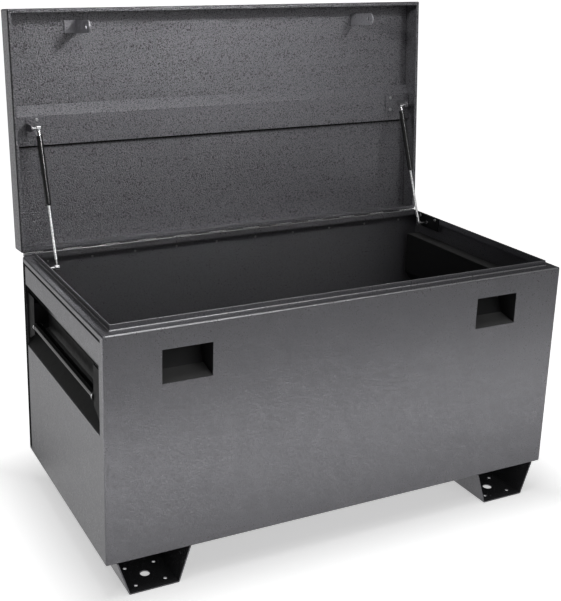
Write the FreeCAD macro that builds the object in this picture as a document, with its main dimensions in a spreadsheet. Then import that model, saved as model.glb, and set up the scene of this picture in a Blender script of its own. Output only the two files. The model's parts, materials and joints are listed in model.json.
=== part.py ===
"""Jobsite storage box: a sheet-steel chest on two skids, with its lid propped open.

Millimetres and degrees. The origin is on the floor under the middle of the box, +X is
the box's right, the front faces -Y and +Z is up. The lid stands at its open stop.
"""
import FreeCAD
import Part
import Sketcher

import math
import os
from types import SimpleNamespace

# Driving dimensions, one cell of the sheet each
SIZES = {
    # Whole box
    "box_width": 1220,
    "box_depth": 612,
    "body_height": 540,
    "skid_height": 86,
    "lid_height": 62,
    # Body sheet and its bends
    "panel_sheet": 2,
    "bend_radius": 4,
    "corner_return": 14,
    "floor_flange": 12,
    "rim_flange": 12,
    "rim_ledge": 26,
    "lip_height": 14,
    "lip_root_radius": 3,
    "lip_edge_radius": 0.8,
    # Lid
    "lid_sheet": 2,
    "lid_flange": 10,
    "seam_gap": 0.4,
    "open_angle": 94.4,
    "stiffener_face": 75,
    "stiffener_run": 27,
    "stiffener_depth": 19,
    "stiffener_sheet": 1.5,
    "stiffener_end_gap": 0.5,
    # Hinge along the back
    "hinge_offset": 6.4,
    "hinge_clearance": 0.5,
    "hinge_end_inset": 6,
    "leaf_height": 32,
    "leaf_sheet": 1.5,
    "pin_radius": 3,
    "pin_clearance": 0.05,
    "knuckle_gap": 0.5,
    # Rivets and screws
    "rivet_drop": 20,
    "rivet_head_radius": 5,
    "rivet_crown_radius": 3.2,
    "rivet_head_height": 2.2,
    "rivet_shank_radius": 2.4,
    "rivet_tail_radius": 3.4,
    "rivet_tail_height": 1.5,
    "screw_head_radius": 4.5,
    "screw_crown_radius": 3.8,
    "screw_head_height": 3,
    "screw_shank_radius": 2.5,
    "fastener_clearance": 0.05,
    # Catches on the lid
    "catch_inset": 194,
    "catch_setback": 46.5,
    "catch_width": 32,
    "catch_sheet": 4,
    "catch_base": 30,
    "catch_drop": 51,
    "catch_hole_drop": 27.5,
    "catch_hole_radius": 6.5,
    # Lock pockets in the front
    "pocket_width": 120,
    "pocket_height": 78.5,
    "pocket_drop": 50,
    "pocket_depth": 51,
    "pocket_floor_rise": 12,
    "housing_depth": 75,
    "housing_knee_drop": 66,
    "housing_top_drop": 8,
    "housing_sheet": 1.5,
    "slot_clearance": 4,
    # Handle recesses in the sides
    "recess_end_margin": 24,
    "recess_drop": 64,
    "recess_height": 170,
    "recess_depth": 44,
    "recess_fold_rise": 57,
    "recess_head_gap": 2.5,
    "recess_sheet": 1.5,
    "roll_radius": 38,
    # Handle bars and their brackets
    "handle_radius": 11,
    "handle_wall": 2.5,
    "handle_setback": 13,
    "handle_drop": 166,
    "collar_radius": 12.8,
    "collar_length": 5,
    "bracket_setback": 5,
    "bracket_sheet": 3,
    "bracket_reach": 52,
    "bracket_head_drop": 25,
    "bracket_foot_drop": 20,
    "bracket_slant_run": 45,
    "bracket_slant_drop": 25,
    "web_head_gap": 2,
    "web_floor_gap": 6,
    # Skids
    "skid_inset": 115,
    "skid_top_width": 179,
    "skid_base_width": 122,
    "skid_sheet": 3,
    "skid_bend_radius": 4,
    "caster_setback": 61,
    "caster_hole_radius": 11.5,
    "caster_bolt_spacing": 72,
    "caster_bolt_radius": 4.5,
    # Gas struts
    "strut_inset": 62,
    "strut_foot_setback": 98,
    "strut_foot_drop": 8,
    "strut_head_offset": 11,
    "strut_head_drop": 2,
    "rod_radius": 3,
    "cylinder_radius": 7.5,
    "cylinder_wall": 1,
    "cylinder_cap": 4,
    "socket_radius": 7,
    "socket_width": 10,
    "socket_bore_depth": 7.5,
    "socket_neck_radius": 4.5,
    "socket_reach": 20,
    "park_gap": 5,
    "gland_length": 10,
    "gland_lip": 3,
    "piston_length": 8,
    "piston_reserve": 8,
    "piston_clearance": 0.1,
    # Strut studs and brackets
    "stud_radius": 3,
    "stud_clearance": 0.05,
    "stud_tip_gap": 0.3,
    "stud_collar_radius": 6,
    "stud_collar_length": 3,
    "lid_stud_length": 12,
    "strut_bracket_sheet": 3,
    "box_bracket_length": 100,
    "box_bracket_drop": 24,
    "box_bracket_rise": 12,
    "box_screw_spacing": 70,
    "box_screw_rise": 6,
    "lid_bracket_base": 45,
    "lid_bracket_length": 50,
    "lid_bracket_ear_radius": 9,
    "lid_rivet_inset": 70,
    "lid_rivet_spacing": 34,
}
KNUCKLES = 23
HINGE_RIVETS = 10

# Coordinates are compared to this when edges are looked up
SAME_PLACE = 1e-4


class Size:
    """A number that keeps its formula, so that what it drives stays bound to the sheet."""

    def __init__(self, value, formula):
        self.value = value
        self.formula = formula

    def __add__(self, other):
        return Size(self.value + number(other), f"({self.formula} + {formula(other)})")

    def __sub__(self, other):
        return Size(self.value - number(other), f"({self.formula} - {formula(other)})")

    def __mul__(self, other):
        return Size(self.value * number(other), f"({self.formula} * {formula(other)})")

    def __truediv__(self, other):
        return Size(self.value / number(other), f"({self.formula} / {formula(other)})")

    def __neg__(self):
        return Size(-self.value, f"(-1 * {self.formula})")

    def __rmul__(self, other):
        return self * other

    def __rsub__(self, other):
        return -self + other


def number(size):
    return size.value if isinstance(size, Size) else size


def formula(size):
    return size.formula if isinstance(size, Size) else repr(size)


def root(size):
    return Size(math.sqrt(size.value), f"sqrt({size.formula})")


def sine(angle):
    return Size(math.sin(math.radians(angle.value)), f"sin({angle.formula})")


def cosine(angle):
    return Size(math.cos(math.radians(angle.value)), f"cos({angle.formula})")


doc = FreeCAD.newDocument("JobsiteBox")


def make_sheet():
    """Write the driving dimensions into the sheet and return them by name."""
    sheet = doc.addObject("Spreadsheet::Sheet", "Sizes")
    for row, (alias, value) in enumerate(SIZES.items(), start=1):
        sheet.set(f"A{row}", alias)
        sheet.set(f"B{row}", str(value))
        sheet.setAlias(f"B{row}", alias)
    doc.recompute()
    return SimpleNamespace(
        **{alias: Size(sheet.get(alias), f"Sizes.{alias}") for alias in SIZES}
    )


size = make_sheet()

# Places that several pieces share
side = size.box_width / 2
front = -size.box_depth / 2
back = size.box_depth / 2
body_base = size.skid_height
seam = size.skid_height + size.body_height
panel_base = body_base + size.floor_flange
panel_top = seam - size.rim_flange
lip_face = size.rim_ledge + size.panel_sheet
hinge_y = back + size.hinge_offset

# The lid is drawn closed, about the hinge axis
lid_front = -(size.box_depth + size.hinge_offset)
lid_back = -size.hinge_offset
lid_middle = -(size.box_depth / 2 + size.hinge_offset)
lid_ceiling = size.lid_height - size.lid_sheet
stiffener_level = lid_ceiling - size.stiffener_depth

catch_x = -side + size.catch_inset

hole_radius = SimpleNamespace(
    rivet=size.rivet_shank_radius + size.fastener_clearance,
    screw=size.screw_shank_radius + size.fastener_clearance,
)

TURN_TO_AXIS = {
    "x": FreeCAD.Rotation(FreeCAD.Vector(0, 1, 0), 90),
    "y": FreeCAD.Rotation(FreeCAD.Vector(1, 0, 0), -90),
    "z": FreeCAD.Rotation(),
}
PLANES = {"xy": "XY_Plane", "xz": "XZ_Plane", "yz": "YZ_Plane"}

sub_parts = []


def keep(piece, label):
    """Name a finished piece and put it on the list of sub-parts."""
    piece.Label = label
    sub_parts.append(piece)
    return piece


def bind(piece, prop, value):
    piece.setExpression(prop, formula(value) if isinstance(value, Size) else str(value))


def set_base(piece, x, y, z):
    for axis, value in zip("xyz", (x, y, z)):
        bind(piece, f"Placement.Base.{axis}", value)


def block(x, y, z):
    """A box between two places along each axis."""
    solid = doc.addObject("Part::Box", "Block")
    for prop, (low, high) in zip(("Length", "Width", "Height"), (x, y, z)):
        bind(solid, prop, high - low)
    set_base(solid, x[0], y[0], z[0])
    return solid


def round_bar(axis, start, radius, length):
    """A cylinder that runs from a place in the direction of an axis."""
    solid = doc.addObject("Part::Cylinder", "RoundBar")
    solid.Placement = FreeCAD.Placement(FreeCAD.Vector(), TURN_TO_AXIS[axis])
    bind(solid, "Radius", radius)
    bind(solid, "Height", length)
    set_base(solid, *start)
    return solid


def taper(axis, start, first_radius, last_radius, length):
    """A cone frustum that runs from a place in the direction of an axis."""
    solid = doc.addObject("Part::Cone", "Taper")
    solid.Placement = FreeCAD.Placement(FreeCAD.Vector(), TURN_TO_AXIS[axis])
    bind(solid, "Radius1", first_radius)
    bind(solid, "Radius2", last_radius)
    bind(solid, "Height", length)
    set_base(solid, *start)
    return solid


def fuse(*pieces):
    joined = doc.addObject("Part::MultiFuse", "Fusion")
    joined.Shapes = list(pieces)
    joined.Refine = True
    return joined


def group(pieces):
    together = doc.addObject("Part::Compound", "Group")
    together.Links = list(pieces)
    return together


def cut(base, *tools):
    rest = doc.addObject("Part::Cut", "Cut")
    rest.Base = base
    rest.Tool = tools[0] if len(tools) == 1 else group(tools)
    return rest


def mirror(piece, normal=(1, 0, 0)):
    """The same piece on the other side of a plane through the origin."""
    twin = doc.addObject("Part::Mirroring", "Mirror")
    twin.Source = piece
    twin.Normal = FreeCAD.Vector(*normal)
    return twin


def keep_pair(piece, name):
    """Keep a left piece and its mirror image on the right."""
    keep(piece, f"left_{name}")
    keep(mirror(piece), f"right_{name}")
    return piece


def new_body(name):
    return doc.addObject("PartDesign::Body", name)


def rectangle(x, y):
    return [(x[0], y[0]), (x[1], y[0]), (x[1], y[1]), (x[0], y[1])]


def pin_point(sketch, index, point, place):
    """Tie a point of the sketch to a place measured from the sketch's origin."""
    for kind, value in zip(("DistanceX", "DistanceY"), place):
        if number(value) == 0:
            axis = -2 if kind == "DistanceX" else -1
            sketch.addConstraint(Sketcher.Constraint("PointOnObject", index, point, axis))
            continue
        named = Sketcher.Constraint(kind, -1, 1, index, point, number(value))
        row = sketch.addConstraint(named)
        bind(sketch, f"Constraints[{row}]", value)


def add_outline(sketch, points):
    """Draw a closed outline of straight lines."""
    first = sketch.GeometryCount
    vectors = [FreeCAD.Vector(number(x), number(y), 0) for x, y in points]
    for start, end in zip(vectors, vectors[1:] + vectors[:1]):
        sketch.addGeometry(Part.LineSegment(start, end))
    for step in range(len(points)):
        following = first + (step + 1) % len(points)
        sketch.addConstraint(
            Sketcher.Constraint("Coincident", first + step, 2, following, 1)
        )
    for step, place in enumerate(points):
        pin_point(sketch, first + step, 1, place)


def add_circle(sketch, place, radius):
    centre = FreeCAD.Vector(number(place[0]), number(place[1]), 0)
    circle = Part.Circle(centre, FreeCAD.Vector(0, 0, 1), number(radius))
    index = sketch.addGeometry(circle)
    pin_point(sketch, index, 3, place)
    row = sketch.addConstraint(Sketcher.Constraint("Radius", index, number(radius)))
    bind(sketch, f"Constraints[{row}]", radius)


def new_sketch(body, plane, offset):
    """A sketch on one of the body's origin planes, moved along the plane's normal."""
    sketch = body.newObject("Sketcher::SketchObject", "Sketch")
    support = next(f for f in body.Origin.OriginFeatures if f.Role == PLANES[plane])
    sketch.AttachmentSupport = [(support, "")]
    sketch.MapMode = "FlatFace"
    bind(sketch, "AttachmentOffset.Base.z", offset)
    return sketch


def sketch_of(body, plane, offset, outlines, circles):
    sketch = new_sketch(body, plane, offset)
    for outline in outlines:
        add_outline(sketch, outline)
    for place, radius in circles:
        add_circle(sketch, place, radius)
    return sketch


def pad(body, plane, span, *outlines, circles=()):
    """Add an outline's prism between two places along the normal of its plane."""
    low, high = span
    offset = -high if plane == "xz" else low
    feature = body.newObject("PartDesign::Pad", "Pad")
    feature.Profile = sketch_of(body, plane, offset, outlines, circles)
    bind(feature, "Length", high - low)
    doc.recompute()
    return feature


def pocket(body, plane, span, *outlines, circles=()):
    """Take an outline's prism away between two places along the normal of its plane."""
    low, high = span
    offset = -low if plane == "xz" else high
    before = body.Shape.Volume
    feature = body.newObject("PartDesign::Pocket", "Pocket")
    feature.Profile = sketch_of(body, plane, offset, outlines, circles)
    bind(feature, "Length", high - low)
    doc.recompute()
    if body.Shape.Volume >= before:
        raise RuntimeError(f"A pocket of {body.Name} cut nothing")
    return feature


def edges_along(shape, axis, **places):
    """Names of the straight edges along an axis whose other coordinates match the places."""
    allowed = {name: [number(value) for value in values] for name, values in places.items()}
    names = []
    for index, edge in enumerate(shape.Edges, start=1):
        ends = [vertex.Point for vertex in edge.Vertexes]
        if len(ends) != 2 or not isinstance(edge.Curve, Part.Line):
            continue
        fixed = [a for a in "xyz" if abs(getattr(ends[0], a) - getattr(ends[1], a)) < SAME_PLACE]
        if sorted(fixed) != sorted(set("xyz") - {axis}):
            continue
        matches = all(
            any(abs(getattr(ends[0], name) - value) < SAME_PLACE for value in values)
            for name, values in allowed.items()
        )
        if matches:
            names.append(f"Edge{index}")
    return names


def round_edges(body, base, names, radius):
    feature = body.newObject("PartDesign::Fillet", "Fillet")
    feature.Base = (base, names)
    bind(feature, "Radius", radius)
    doc.recompute()
    return feature


def put_on_lid(piece):
    """Swing a piece that was drawn on the closed lid to the open stop."""
    swing = FreeCAD.Rotation(FreeCAD.Vector(1, 0, 0), -size.open_angle.value)
    piece.Placement = FreeCAD.Placement(FreeCAD.Vector(), swing)
    set_base(piece, 0, hinge_y, seam)
    return piece


def even_places(count, low, high):
    """Places spaced evenly between two ends, half a step in from each end."""
    step = (high - low) / count
    return [low + step * (index + 0.5) for index in range(count)]


def hinge_rivet_places():
    return even_places(HINGE_RIVETS, -side + size.hinge_end_inset, side - size.hinge_end_inset)


def tray(name, inner_base, base, top, edge_level):
    """A shallow pan of the box's own plan, bent at its corners and along one level."""
    body = new_body(name)
    width = (-side, side)
    depth = (front, back)
    outer = pad(body, "xy", (base, top), rectangle(width, depth))
    edges = edges_along(outer.Shape, "z", x=width, y=depth)
    edges += edges_along(outer.Shape, "x", y=depth, z=[edge_level])
    edges += edges_along(outer.Shape, "y", x=width, z=[edge_level])
    round_edges(body, outer, edges, size.bend_radius)
    sheet = size.panel_sheet
    inside = rectangle((-side + sheet, side - sheet), (front + sheet, back - sheet))
    pocket(body, "xy", inner_base, inside)
    return body


def floor_pan():
    body = tray(
        "FloorPan",
        (body_base + size.panel_sheet, panel_base),
        body_base,
        panel_base,
        body_base,
    )
    keep(body, "floor_pan")


def inset_plan(inset):
    """The box's plan, drawn in by an inset all round."""
    return rectangle((-side + inset, side - inset), (front + inset, back - inset))


def top_rim():
    """Flange, ledge and raised lip that close the top edges of the panels."""
    sheet = size.panel_sheet
    body = tray("TopRim", (panel_top, seam - sheet), panel_top, seam, seam)
    pocket(body, "xy", (panel_top, seam), inset_plan(lip_face))
    lip_top = seam + size.lip_height
    lip = pad(
        body, "xy", (seam - sheet, lip_top), inset_plan(size.rim_ledge), inset_plan(lip_face)
    )
    x_outer = (-side + size.rim_ledge, side - size.rim_ledge)
    y_outer = (front + size.rim_ledge, back - size.rim_ledge)
    root_edges = edges_along(lip.Shape, "x", y=y_outer, z=[seam])
    root_edges += edges_along(lip.Shape, "y", x=x_outer, z=[seam])
    rooted = round_edges(body, lip, root_edges, size.lip_root_radius)
    crest = edges_along(rooted.Shape, "x", z=[lip_top]) + edges_along(rooted.Shape, "y", z=[lip_top])
    round_edges(body, rooted, crest, size.lip_edge_radius)
    for x in (-side + size.rim_ledge, side - lip_face):
        circles = [((y, box_screw_level), hole_radius.screw) for y in box_screw_places]
        pocket(body, "yz", (x, x + sheet), circles=circles)
    keep(body, "top_rim")


def corner_panel(name, face, inward, heights):
    """A front or back sheet between two heights, with its corner bends and their returns."""
    body = new_body(name)
    sheet = size.panel_sheet
    ends = sorted((face, face + inward * size.corner_return), key=number)
    outer = pad(body, "xy", heights, rectangle((-side, side), ends))
    bends = edges_along(outer.Shape, "z", x=(-side, side), y=[face])
    round_edges(body, outer, bends, size.bend_radius)
    hollow = sorted((face + inward * sheet, face + inward * size.corner_return), key=number)
    pocket(body, "xy", heights, rectangle((-side + sheet, side - sheet), hollow))
    return body


def front_panel():
    """Front sheet in five pieces, welded edge to edge round the two lock windows."""
    top = seam - size.pocket_drop
    base = top - size.pocket_height
    half = size.pocket_width / 2
    edge = catch_x - half
    end = corner_panel("FrontEnd", front, 1, (panel_base, panel_top))
    beyond = rectangle((edge, side), (front, front + size.corner_return))
    pocket(end, "xy", (panel_base, panel_top), beyond)
    depth = (front, front + size.panel_sheet)
    lower = block((edge, -edge), depth, (panel_base, base))
    upper = block((edge, -edge), depth, (top, panel_top))
    middle = block((catch_x + half, -catch_x - half), depth, (base, top))
    keep(group([end, mirror(end), lower, upper, middle]), "front_panel")


def back_panel():
    body = corner_panel("BackPanel", back, -1, (panel_base, panel_top))
    circles = [((x, seam - size.rivet_drop), hole_radius.rivet) for x in hinge_rivet_places()]
    pocket(body, "xz", (back - size.panel_sheet, back), circles=circles)
    keep(body, "back_panel")


# Handle recess, measured on the left side
recess_top = seam - size.recess_drop
recess_base = recess_top - size.recess_height
recess_end = back - size.recess_end_margin
recess_back = -side + size.recess_depth - size.recess_sheet
recess_slope = size.recess_fold_rise / (recess_back + side)


def side_panels():
    """Flat end panels whose recess opening is rolled inward along its top edge."""
    body = new_body("LeftSidePanel")
    sheet = size.panel_sheet
    ends = (front + size.corner_return, back - size.corner_return)
    pad(
        body,
        "yz",
        (-side, -side + sheet),
        rectangle(ends, (panel_base, panel_top)),
        rectangle((-recess_end, recess_end), (recess_base, recess_top)),
    )
    roll = body.newObject("PartDesign::Revolution", "Roll")
    sketch = new_sketch(body, "xy", recess_top)
    add_outline(sketch, rectangle((-side, -side + sheet), (-recess_end, recess_end)))
    centre = -side + size.roll_radius
    low = FreeCAD.Vector(centre.value, -recess_end.value, 0)
    high = FreeCAD.Vector(centre.value, recess_end.value, 0)
    axis = sketch.addGeometry(Part.LineSegment(high, low), True)
    pin_point(sketch, axis, 1, (centre, recess_end))
    pin_point(sketch, axis, 2, (centre, -recess_end))
    roll.Profile = sketch
    roll.ReferenceAxis = (sketch, ["Axis0"])
    roll.Angle = 90
    doc.recompute()
    keep_pair(body, "side_panel")


def handle_recesses():
    """Bent housings behind the side openings, with a floor that slopes up inward."""
    body = new_body("LeftHandleRecess")
    sheet = size.recess_sheet
    mouth = -side + size.panel_sheet
    rear = recess_back + sheet
    ceiling = recess_top + size.recess_head_gap
    floor_at_mouth = recess_base + recess_slope * size.panel_sheet
    floor_at_fold = recess_base + size.recess_fold_rise
    under = sheet * root(recess_slope * recess_slope + 1)
    pad(
        body,
        "xz",
        (-recess_end - sheet, recess_end + sheet),
        [
            (mouth, ceiling + sheet),
            (rear, ceiling + sheet),
            (rear, floor_at_fold + recess_slope * sheet - under),
            (mouth, floor_at_mouth - under),
        ],
    )
    pocket(
        body,
        "xz",
        (-recess_end, recess_end),
        [
            (mouth, ceiling),
            (recess_back, ceiling),
            (recess_back, floor_at_fold),
            (mouth, floor_at_mouth),
        ],
    )
    keep_pair(body, "handle_recess")


handle_x = -side + size.handle_setback
handle_z = seam - size.handle_drop
handle_end = recess_end - size.bracket_reach


def handle_brackets():
    """Plates at both ends of a recess, each with a web that carries the bar."""
    body = new_body("LeftFrontHandleBracket")
    face = -side + size.bracket_setback
    flange_top = recess_top - size.bracket_head_drop
    web_top = recess_top - size.roll_radius - size.web_head_gap
    foot = handle_z - size.bracket_foot_drop
    slant_end = -handle_end - size.bracket_slant_run
    slant_foot = foot - size.bracket_slant_drop
    web_foot = recess_base + size.recess_fold_rise + size.web_floor_gap
    pad(
        body,
        "yz",
        (face, face + size.bracket_sheet),
        [
            (-recess_end, flange_top),
            (-handle_end, flange_top),
            (-handle_end, foot),
            (slant_end, slant_foot),
            (-recess_end, slant_foot),
        ],
    )
    pad(
        body,
        "xz",
        (-handle_end - size.bracket_sheet, -handle_end),
        [(face, web_top), (recess_back, web_top), (recess_back, web_foot), (face, foot)],
    )
    keep_pair(body, "front_handle_bracket")
    keep_pair(mirror(body, (0, 1, 0)), "rear_handle_bracket")


def handle_bars():
    """Tubes between the brackets, with a collar at each end."""
    start = (handle_x, -handle_end, handle_z)
    tube = round_bar("y", start, size.handle_radius, 2 * handle_end)
    bore = round_bar("y", start, size.handle_radius - size.handle_wall, 2 * handle_end)
    keep_pair(cut(tube, bore), "handle_bar")
    collar = cut(
        round_bar("y", start, size.collar_radius, size.collar_length),
        round_bar("y", start, size.handle_radius + size.fastener_clearance, size.collar_length),
    )
    left = [collar, mirror(collar, (0, 1, 0))]
    keep(group(left + [mirror(ring) for ring in left]), "handle_collars")


def lock_housings():
    """Boxes behind the front pockets that take the catches from above."""
    body = new_body("LeftLockHousing")
    sheet = size.housing_sheet
    mouth = front + size.panel_sheet
    top = seam - size.housing_top_drop
    knee = seam - size.housing_knee_drop
    rear = front + size.housing_depth
    floor = seam - size.pocket_drop - size.pocket_height
    slope = size.pocket_floor_rise / size.pocket_depth
    under = sheet * root(slope * slope + 1)
    fold = front + size.pocket_depth
    half = size.pocket_width / 2
    pad(
        body,
        "yz",
        (catch_x - half - sheet, catch_x + half + sheet),
        [
            (mouth, top),
            (rear, top),
            (rear, knee),
            (fold + sheet, floor + slope * (size.pocket_depth + sheet) - under),
            (mouth, floor + slope * size.panel_sheet - under),
        ],
    )
    pocket(
        body,
        "yz",
        (catch_x - half, catch_x + half),
        [
            (mouth, top - sheet),
            (rear - sheet, top - sheet),
            (rear - sheet, knee),
            (fold, floor + size.pocket_floor_rise),
            (mouth, floor + slope * size.panel_sheet),
        ],
    )
    slot_x = size.catch_sheet / 2 + size.slot_clearance
    slot_y = size.catch_width / 2 + size.slot_clearance
    middle = front + size.catch_setback
    slot = rectangle((catch_x - slot_x, catch_x + slot_x), (middle - slot_y, middle + slot_y))
    pocket(body, "xy", (top - sheet, top), slot)
    keep_pair(body, "lock_housing")


def skids():
    """Trapezoid channels under the floor, drilled at both ends for casters."""
    body = new_body("LeftSkid")
    middle = -side + size.skid_inset
    sheet = size.skid_sheet
    base = size.skid_base_width / 2
    top = size.skid_top_width / 2
    flare = (top - base) / size.skid_height
    wall = sheet * root(flare * flare + 1)
    base_inner = base + flare * sheet - wall
    channel = pad(
        body,
        "xz",
        (front, back),
        [
            (middle - base, 0),
            (middle + base, 0),
            (middle + top, size.skid_height),
            (middle + top - wall, size.skid_height),
            (middle + base_inner, sheet),
            (middle - base_inner, sheet),
            (middle - top + wall, size.skid_height),
            (middle - top, size.skid_height),
        ],
    )
    bends = edges_along(channel.Shape, "y", x=(middle - base, middle + base), z=[0])
    round_edges(body, channel, bends, size.skid_bend_radius)
    reach = size.caster_bolt_spacing / 2
    circles = []
    for y in (front + size.caster_setback, back - size.caster_setback):
        circles.append(((middle, y), size.caster_hole_radius))
        for x_side in (-1, 1):
            for y_side in (-1, 1):
                bolt = (middle + x_side * reach, y + y_side * reach)
                circles.append((bolt, size.caster_bolt_radius))
    pocket(body, "xy", (0, sheet), circles=circles)
    keep_pair(body, "skid")


def hinge_leaf(bottom, top, own):
    """A leaf and its knuckles about the hinge axis, notched for the other leaf's knuckles."""
    knuckle = size.hinge_offset - size.hinge_clearance
    low = -side + size.hinge_end_inset
    high = side - size.hinge_end_inset
    plate = block((low, high), (lid_back, lid_back + size.leaf_sheet), (bottom, top))
    barrel = round_bar("x", (low, 0, 0), knuckle, high - low)
    bore = round_bar("x", (low, 0, 0), size.pin_radius + size.pin_clearance, high - low)
    pitch = (high - low) / KNUCKLES
    reach = knuckle + size.hinge_clearance
    notches = []
    for index in range(KNUCKLES):
        if index % 2 == own:
            continue
        start = low + pitch * index - size.knuckle_gap / 2
        end = start + pitch + size.knuckle_gap
        notches.append(block((start, end), (-reach, reach), (-reach, reach)))
    return fuse(plate, barrel), [bore] + notches


def hinge():
    """Piano hinge along the back: a leaf on the box, a leaf on the lid and the pin."""
    through = size.leaf_sheet
    leaf, cuts = hinge_leaf(-size.leaf_height, 0, 0)
    holes = [
        round_bar("y", (x, lid_back, -size.rivet_drop), hole_radius.rivet, through)
        for x in hinge_rivet_places()
    ]
    box_leaf = cut(leaf, *cuts, *holes)
    set_base(box_leaf, 0, hinge_y, seam)
    keep(box_leaf, "hinge_box_leaf")

    leaf, cuts = hinge_leaf(0, size.leaf_height, 1)
    holes = [
        round_bar("y", (x, lid_back, size.rivet_drop), hole_radius.rivet, through)
        for x in hinge_rivet_places()
    ]
    keep(put_on_lid(cut(leaf, *cuts, *holes)), "hinge_lid_leaf")

    low = -side + size.hinge_end_inset
    length = size.box_width - 2 * size.hinge_end_inset
    keep(round_bar("x", (low, hinge_y, seam), size.pin_radius, length), "hinge_pin")


def hinge_rivet(x, level, wall):
    """A rivet that holds a leaf to a wall, its head outside, drawn about the hinge axis."""
    seat = lid_back + size.leaf_sheet
    tail = lid_back - wall
    head = taper(
        "y",
        (x, seat, level),
        size.rivet_head_radius,
        size.rivet_crown_radius,
        size.rivet_head_height,
    )
    shank = round_bar("y", (x, tail, level), size.rivet_shank_radius, seat - tail)
    formed = round_bar(
        "y",
        (x, tail - size.rivet_tail_height, level),
        size.rivet_tail_radius,
        size.rivet_tail_height,
    )
    return fuse(head, shank, formed)


def hinge_rivets():
    places = hinge_rivet_places()
    fixed = group([hinge_rivet(x, -size.rivet_drop, size.panel_sheet) for x in places])
    set_base(fixed, 0, hinge_y, seam)
    keep(fixed, "hinge_box_rivets")
    moving = group([hinge_rivet(x, size.rivet_drop, size.lid_sheet) for x in places])
    keep(put_on_lid(moving), "hinge_lid_rivets")


def lid_pan():
    """Folded lid with its skirts and the flange turned inward at their edges."""
    body = new_body("LidPan")
    sheet = size.lid_sheet
    width = (-side, side)
    depth = (lid_front, lid_back)
    levels = (size.seam_gap, size.lid_height)
    outer = pad(body, "xy", levels, rectangle(width, depth))
    edges = edges_along(outer.Shape, "z", x=width, y=depth)
    edges += edges_along(outer.Shape, "x", y=depth, z=levels)
    edges += edges_along(outer.Shape, "y", x=width, z=levels)
    round_edges(body, outer, edges, size.bend_radius)

    def plan(inset):
        return rectangle((-side + inset, side - inset), (lid_front + inset, lid_back - inset))

    flange_top = size.seam_gap + sheet
    pocket(body, "xy", (size.seam_gap, flange_top), plan(size.lid_flange))
    pocket(body, "xy", (flange_top, lid_ceiling), plan(sheet))
    circles = [((x, size.rivet_drop), hole_radius.rivet) for x in hinge_rivet_places()]
    pocket(body, "xz", (lid_back - sheet, lid_back), circles=circles)
    keep(put_on_lid(body), "lid_pan")


def lid_stiffener():
    """Channel across the middle of the lid, sloped in front and square behind."""
    body = new_body("LidStiffener")
    sheet = size.stiffener_sheet
    face = size.stiffener_face / 2
    foot = face + size.stiffener_run
    flare = size.stiffener_run / size.stiffener_depth
    wall = sheet * root(flare * flare + 1)
    face_inner = face + flare * sheet - wall
    end = side - size.lid_sheet - size.stiffener_end_gap
    level = stiffener_level
    pad(
        body,
        "yz",
        (-end, end),
        [
            (lid_middle - face, level),
            (lid_middle + face, level),
            (lid_middle + face, lid_ceiling),
            (lid_middle + face - sheet, lid_ceiling),
            (lid_middle + face - sheet, level + sheet),
            (lid_middle - face_inner, level + sheet),
            (lid_middle - foot + wall, lid_ceiling),
            (lid_middle - foot, lid_ceiling),
        ],
    )
    circles = [
        ((x, y), hole_radius.rivet) for x in (lid_rivet_x, -lid_rivet_x) for y in lid_rivet_places
    ]
    pocket(body, "xy", (level, level + sheet), circles=circles)
    keep(put_on_lid(body), "lid_stiffener")


def catches():
    """Angle plates on the lid whose tongues drop into the lock housings."""
    half = size.catch_sheet / 2
    middle = lid_front + size.catch_setback
    reach = size.catch_width / 2
    tip = reach - size.catch_drop
    tongue_x = (catch_x - half, catch_x + half)
    span = (middle - reach, middle + reach)
    base = block(
        (catch_x - half - size.catch_base, catch_x + half),
        span,
        (lid_ceiling - size.catch_sheet, lid_ceiling),
    )
    tongue = block(tongue_x, span, (tip, lid_ceiling))
    rounded = round_bar("x", (tongue_x[0], middle, tip), reach, size.catch_sheet)
    hole = round_bar(
        "x", (tongue_x[0], middle, -size.catch_hole_drop), size.catch_hole_radius, size.catch_sheet
    )
    keep_pair(put_on_lid(cut(fuse(base, tongue, rounded), hole)), "catch")


# Gas struts: the foot turns on the box and the head on the lid
strut_x = -side + size.strut_inset
socket_face = strut_x - size.socket_width / 2
foot_y = back - size.strut_foot_setback
foot_z = seam - size.strut_foot_drop
head_y = lid_middle - size.strut_head_offset
head_z = -size.strut_head_drop
open_head_y = hinge_y + head_y * cosine(size.open_angle) + head_z * sine(size.open_angle)
open_head_z = seam + head_z * cosine(size.open_angle) - head_y * sine(size.open_angle)


def distance(first, second):
    return root(first * first + second * second)


strut_open = distance(open_head_y - foot_y, open_head_z - foot_z)
strut_closed = distance(hinge_y + head_y - foot_y, seam + head_z - foot_z)
strut_lean = math.degrees(
    math.atan2((open_head_y - foot_y).value, (open_head_z - foot_z).value)
)
tube_length = strut_closed - 2 * size.socket_reach - size.park_gap
tube_base = strut_open - size.socket_reach - tube_length

# Fasteners of the strut brackets
box_screw_level = seam + size.box_screw_rise
box_screw_places = [foot_y - size.box_screw_spacing / 2, foot_y + size.box_screw_spacing / 2]
lid_rivet_x = -side + size.lid_rivet_inset
lid_rivet_places = [head_y - size.lid_rivet_spacing / 2, head_y + size.lid_rivet_spacing / 2]


def along_strut(piece):
    """Lay a piece that was drawn upright over the foot along the open strut."""
    lean = FreeCAD.Rotation(FreeCAD.Vector(1, 0, 0), -strut_lean)
    piece.Placement = FreeCAD.Placement(FreeCAD.Vector(), lean)
    set_base(piece, strut_x, foot_y, foot_z)
    return piece


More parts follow.
